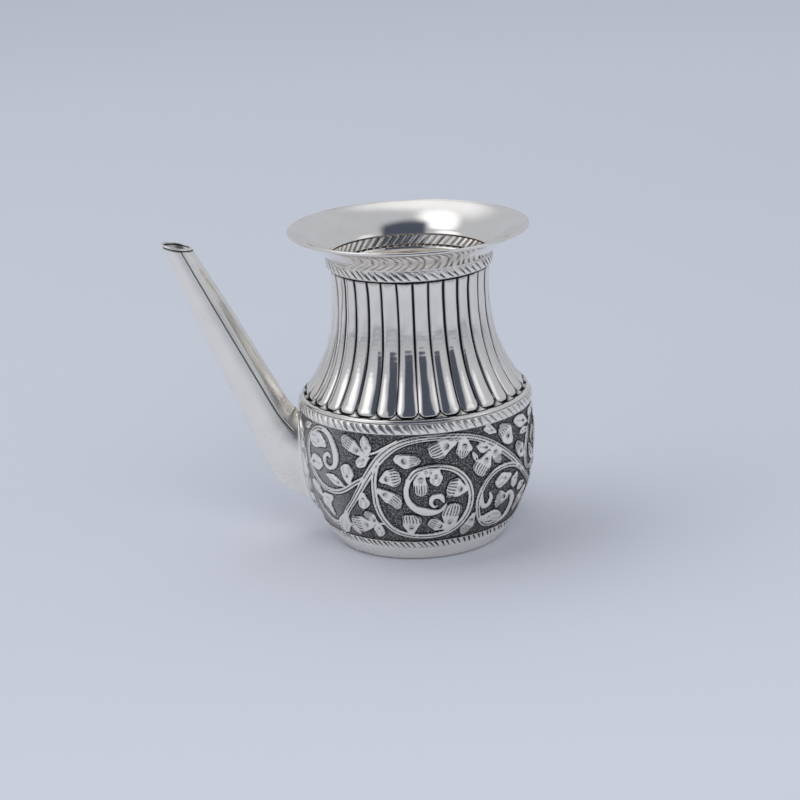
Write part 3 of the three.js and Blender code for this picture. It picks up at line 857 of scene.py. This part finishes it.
def spout_point(t, angle, grow):
    """Points of the spout's wall at shares t and angles round it, `grow` mm outside the CAD's."""
    s = spout_stations(t)
    centre = (s[..., 0:2] + s[..., 2:4]) / 2
    across = (s[..., 2:4] - s[..., 0:2]) / 2
    reach = np.linalg.norm(across, axis=-1)
    scale = (reach + grow) / reach
    c, sn = np.cos(angle), np.sin(angle)
    x = centre[..., 0] + across[..., 0] * scale * c
    z = centre[..., 1] + across[..., 1] * scale * c
    return np.stack([x, -(s[..., 4] + grow) * sn, z], -1)


def root_share(angle):
    """How far down the spout its wall meets the belly, at each angle round its section."""
    low, high = np.full(angle.shape, 0.5), np.ones(angle.shape)
    for _ in range(30):
        middle = (low + high) / 2
        p = spout_point(middle, angle, 0.0)
        outside = np.hypot(p[..., 0], p[..., 1]) > body_radius(p[..., 2])
        low, high = np.where(outside, middle, low), np.where(outside, high, middle)
    return low


# The tube's inner side is a flatter strip, folded along a crease on each side.
CREASE = ((0.0, 0.4, 0.95), (74, 64, 56))     # share down the spout, degrees from the inner line
CREASE_TEMPLATE = math.radians(64)            # before it is bent to its place
SECTION_R = 6.0                               # mean radius of the section
SPOUT_LENGTH = 85
# Dents: share down the spout, degrees from the inner line, width in mm.
DENTS = ((0.09, 40, 0.5), (0.25, 36, 0.6), (0.66, 112, 0.45), (0.47, 250, 0.6), (0.8, 300, 0.6))


def spout_angles():
    """Angles round the section, 0 at its inner line, crowded together at the two creases."""
    near = np.array([-0.9, -0.6, -0.4, -0.25, -0.12, 0, 0.12, 0.25, 0.4, 0.6, 0.9]) / SECTION_R
    even = np.radians(around(96))
    keep = even[np.abs(np.minimum(even, 2 * math.pi - even) - CREASE_TEMPLATE) > 0.18]
    both = [CREASE_TEMPLATE + near, 2 * math.pi - CREASE_TEMPLATE - near]
    return np.sort(np.concatenate([keep, *both]))


def spout():
    """The long tapering tube, from under its lip to where it meets the belly."""
    rows, inner_every = 180, 6
    crease_depth, crease_lip, ripple, dent_depth, root_spread = 0.3, 0.07, 0.028, 0.12, 0.9
    template = spout_angles()
    columns = len(template)
    share = np.linspace(0, 1, rows)[:, None]
    side = np.where(template > math.pi, -1, 1)[None, :]
    folded = np.minimum(template, 2 * math.pi - template)[None, :]
    crease = np.radians(np.interp(share, *CREASE))
    inner_side = folded < CREASE_TEMPLATE
    outer_bent = math.pi - (math.pi - folded) * (math.pi - crease) / (math.pi - CREASE_TEMPLATE)
    bent = np.where(inner_side, folded * crease / CREASE_TEMPLATE, outer_bent)
    angle = side * bent
    tip = 0.006               # share where the tube starts, under its lip
    t = tip + (root_share(angle[-1])[None, :] - tip) * share
    outer = spout_point(t, angle, 0.0)
    off = (folded - CREASE_TEMPLATE) * SECTION_R
    fade = smooth((0.93 - share) / 0.06)
    groove = bell(off, 0.2) * fade
    lift = -crease_depth * groove + crease_lip * bell(off - 0.45, 0.25) * fade
    draw = np.random.default_rng(81)
    for waves in (5, 8, 11, 15):
        drift = np.cos(share * draw.uniform(6, 16) + draw.uniform(0, 6.3))
        lift = lift + ripple * np.cos(angle * waves + 1.2 * drift) * inner_side * smooth(-off / 0.5)
    for where, spin, size in DENTS:
        aside = np.abs((angle - math.radians(spin) + math.pi) % (2 * math.pi) - math.pi) * SECTION_R
        lift = lift - dent_depth * bell(np.hypot(aside, (share - where) * SPOUT_LENGTH), size)
    lift = lift + 0.02 * np.cos(share * 19 + 1.0) * np.cos(angle * 2 + share * 7)
    centre = outer.mean(axis=1, keepdims=True)
    outward = outer - centre
    outward /= np.linalg.norm(outward, axis=-1, keepdims=True)
    outer = outer + outward * lift[..., None]
    # the root spreads a little into its collar
    spread = smooth((share - 0.955) / 0.045) ** 2 * root_spread
    outer = outer + outward * np.array([0, 1, 1]) * spread[..., None]
    inner = spout_point(t, angle, -WALL)[::inner_every][::-1]
    tone = np.clip(1.1 * groove, 0, 1) + 0.25 * smooth((share - 0.985) / 0.015)
    tone = tone + (1 - smooth(share / tip)) * smooth((math.pi * 0.95 - folded) / 0.6)
    inner_tone = 0.35
    tones = np.vstack([tone, np.full((len(inner), columns), inner_tone)])
    return grid_mesh("spout", np.vstack([outer, inner]), np.clip(tones, 0, 1))


def spout_lip():
    """The thin bright ring round the spout's mouth."""
    columns = 112
    angle = np.radians(around(columns))
    # share down the spout, growth of the section, tone
    sections = [(0.0054, -0.3, 1.0), (0.0046, 0.02, 0.4), (0.0036, 0.1, 0.0), (0.0018, 0.11, 0.0),
                (0.0006, 0.06, 0.0), (0.0, -0.1, 0.0), (0.0, -0.5, 0.0), (0.0008, -0.75, 0.3),
                (0.0054, -0.79, 1.0)]
    rings = [spout_point(np.full(columns, t), angle, grow) for t, grow, _ in sections]
    tone = np.array([[shade] for _, _, shade in sections])
    return grid_mesh("spout_lip", np.stack(rings), tone)


def collar():
    """The punched border of the spout's root, laid on the belly and wider at its sides."""
    columns, rows, lump = 256, 22, (2, 4)
    thickness, punch_depth, tall = 0.45, 0.28, 2.4
    angle = np.radians(around(columns))
    root = spout_point(root_share(angle), angle, 0.0)
    phi = np.degrees(np.arctan2(-root[:, 1], -root[:, 0]))
    u, z = phi * MM_PER_DEGREE, root[:, 2]
    middle_z = (z.max() + z.min()) / 2
    out = np.stack([u, (z - middle_z) / tall], -1)
    out /= np.linalg.norm(out, axis=-1, keepdims=True)
    side = np.abs(out[:, 0])
    width = 1.6 + 3.0 * side ** 1.5
    share = np.linspace(-0.1, 1, rows)[:, None]
    uu = u + out[:, 0] * width * share
    zz = np.clip(z + out[:, 1] * width * share, FOOT_HIGH + 0.1, SHOULDER_LOW - 0.1)
    draw = np.random.default_rng(91)
    body = smooth((share + 0.1) / 0.12) * smooth((1 - share) / 0.22)
    lumps = draw.uniform(0, 1, (rows // lump[0], columns // lump[1]))
    lumps = lumps.repeat(lump[0], 0).repeat(lump[1], 1)
    lumps = (lumps + np.roll(lumps, 1, 0) + np.roll(lumps, 1, 1) + np.roll(lumps, -1, 1)) / 4
    lift = thickness * body + punch_depth * (lumps - 0.5) * body - 0.3 * (1 - body)
    pp = uu / MM_PER_DEGREE
    outer = on_body(pp, body_radius(zz) + lift, zz)
    inner = on_body(pp[::-3], body_radius(zz[::-3]) - 0.5, zz[::-3])
    tone = np.clip(0.8 * (0.5 - lumps) * 2 + 0.35 * (1 - body), 0, 1)
    tones = np.vstack([tone, np.zeros((len(inner), columns))])
    return grid_mesh("spout_collar", np.vstack([outer, inner]), tones)


# ---- assembly

plain = polished_silver("plain_polished_silver")
reeded = polished_silver("reeded_polished_silver", roughness=0.09, grain=(1, 1, 0.4))
satin = polished_silver("satin_silver", 0.22, 0.08, clear=WHITE_SILVER, dull=SATIN_SILVER)
chased = chased_silver("chased_oxidised_silver", strength=0.7)
cut = chased_silver("cut_band_silver", strength=0.3)

hand_over(base(), "base_cup", satin)
hand_over(rope("foot_band", FOOT_LOW, FOOT_HIGH, body_radius, strokes=108, slant=1.0, seed=5,
               depth=0.42, crown=0.22, ink=2.6), "foot_rope_band", cut)
hand_over(belly(), "belly_shell", chased)
hand_over(rope("shoulder_band", SHOULDER_LOW, SHOULDER_HIGH, body_radius, strokes=90, slant=0.9, seed=6,
               crown=0.38, ink=1.0), "shoulder_rope_band", cut)
hand_over(shoulder_bead(), "shoulder_bead", plain)
hand_over(neck(), "neck_shell", reeded)
hand_over(rope("neck_band", NECK_LOW, NECK_HIGH, lambda z: NECK_BAND_R - 0.3 + 0 * z, BAND_STROKES,
               BAND_SLANT, seed=7, ink=2.2), "neck_rope_band", cut)
hand_over(mouth(), "mouth_flare", plain)
hand_over(rim(), "rim_wire", plain)
hand_over(spout(), "spout_tube", satin)
hand_over(spout_lip(), "spout_lip_ring", plain)
hand_over(collar(), "spout_root_collar", cut)


# ---- floor, light, camera

def add_floor():
    """Pale paper, with painted light and shade: a little lighter far behind the pot and darker in front of
    it.
    """
    size = 4.0
    corners = [(-size, -size, 0), (size, -size, 0), (size, size, 0), (-size, size, 0)]
    mesh = bpy.data.meshes.new("floor")
    mesh.from_pydata(corners, [], [(0, 1, 2, 3)])
    floor = bpy.data.objects.new("floor", mesh)
    bpy.context.scene.collection.objects.link(floor)
    n = new_material("pale_paper")
    shade = n.mix(n.noise(400.0, 1.0), (0.70, 0.72, 0.78, 1), (0.73, 0.75, 0.81, 1))
    y = n.add("ShaderNodeSeparateXYZ", {"Vector": n.place()}).outputs["Y"]
    # painted light far behind, painted shade towards the front
    shade = n.mix(n.ramp(y, 0.1, 0.9), shade, (0.84, 0.86, 0.92, 1))
    shade = n.mix(n.ramp(y, -0.18, -0.42), shade, (0.60, 0.62, 0.67, 1))
    n.feed(n.shader.inputs["Base Color"], shade)
    n.shader.inputs["Roughness"].default_value = 0.9
    n.shader.inputs["Specular IOR Level"].default_value = 0.2
    mesh.materials.append(n.owner)


def direction(azimuth, elevation):
    """Unit vector; azimuth 0 is towards -Y (the camera), positive towards +X."""
    a, e = math.radians(azimuth), math.radians(elevation)
    return Vector((math.sin(a) * math.cos(e), -math.cos(a) * math.cos(e), math.sin(e)))


def add_world():
    """A pale tent with four bright patches, and a dark gap from the front to overhead."""
    world = bpy.data.worlds.new("light_tent")
    bpy.context.scene.world = world
    n = Nodes(world, "Background")
    where = n.add("ShaderNodeTexCoord").outputs["Generated"]
    x, y, z = n.add("ShaderNodeSeparateXYZ", {"Vector": where}).outputs

    def spot(azimuth, elevation, inner, outer):
        """1 within `inner` degrees of a direction, falling to 0 at `outer` degrees."""
        dot = n.add("ShaderNodeVectorMath", {0: where, 1: direction(azimuth, elevation)},
                    operation="DOT_PRODUCT").outputs["Value"]
        low, high = math.cos(math.radians(outer)), math.cos(math.radians(inner))
        return n.ramp(dot, low, high, kind="SMOOTHSTEP")

    def gap():
        """1 in the dark gap: a strip from low in front, widening there, to just past overhead."""
        skew, shift, widening = 0.08, 0.04, 0.28
        off_line = n.math("ADD", n.math("MULTIPLY", y, skew), n.math("SUBTRACT", x, shift))
        off_line = n.math("ABSOLUTE", off_line)
        off_edge = n.math("ADD", off_line, n.math("MULTIPLY", y, widening))
        across = n.ramp(off_edge, 0.20, 0.36, 1.0, 0.0, "SMOOTHSTEP")
        back = n.ramp(y, -0.10, 0.07, 1.0, 0.0, "SMOOTHSTEP")
        return n.math("MULTIPLY", n.math("MULTIPLY", across, back), n.ramp(z, 0.14, 0.19))

    colour = n.mix(n.ramp(z, 0.0, 0.25), (0.43, 0.455, 0.51, 1), (0.50, 0.53, 0.585, 1))
    colour = n.mix(spot(-166, 58, 2, 25), colour, (0.95, 0.98, 1.04, 1))
    colour = n.mix(spot(-104, 69, 3, 19), colour, (1.3, 1.34, 1.4, 1))
    colour = n.mix(spot(-68, 36, 7, 22), colour, (1.1, 1.13, 1.2, 1))
    colour = n.mix(spot(72, 34, 5, 17), colour, (0.85, 0.88, 0.94, 1))
    colour = n.mix(gap(), colour, (0.07, 0.085, 0.12, 1))
    n.feed(n.shader.inputs["Color"], colour)


def add_lamp(name, azimuth, elevation, size, power):
    """A square lamp 1.2 m from the pot that the metal doesn't mirror."""
    distance = 1.2
    lamp = bpy.data.lights.new(name, "AREA")
    lamp.shape = "SQUARE"
    lamp.size = size
    lamp.energy = power
    holder = bpy.data.objects.new(name, lamp)
    way = direction(azimuth, elevation)
    holder.location = way * distance
    holder.rotation_mode = "QUATERNION"
    holder.rotation_quaternion = way.to_track_quat("Z", "Y")
    holder.visible_glossy = False
    bpy.context.scene.collection.objects.link(holder)


def add_camera():
    """The photo's view: pitch, roll, distance and lens were fitted to the circles of the body."""
    pitch, roll = math.radians(17.3), math.radians(2.62)
    distance, lens = 0.7232, 100.2
    aim = Vector((-5.0, 0.0, 45.0)) * MM
    back = Vector((0, -math.cos(pitch), math.sin(pitch)))
    up = Vector((0, math.sin(pitch), math.cos(pitch)))
    side = Vector((1, 0, 0))
    right = math.cos(roll) * side - math.sin(roll) * up
    upward = math.sin(roll) * side + math.cos(roll) * up
    camera = bpy.data.objects.new("camera", bpy.data.cameras.new("camera"))
    camera.data.lens = lens
    camera.data.sensor_width = 36
    camera.data.clip_start, camera.data.clip_end = 0.01, 20
    turned_by = Matrix((right, upward, back)).transposed().to_4x4()
    camera.matrix_world = Matrix.Translation(aim + back * distance) @ turned_by
    bpy.context.scene.collection.objects.link(camera)
    bpy.context.scene.camera = camera


add_floor()
add_world()
add_lamp("key", azimuth=-97, elevation=62, size=0.8, power=2.1)
add_lamp("fill", azimuth=12, elevation=45, size=0.7, power=3.6)
add_camera()
bpy.context.scene.view_settings.view_transform = "Standard"
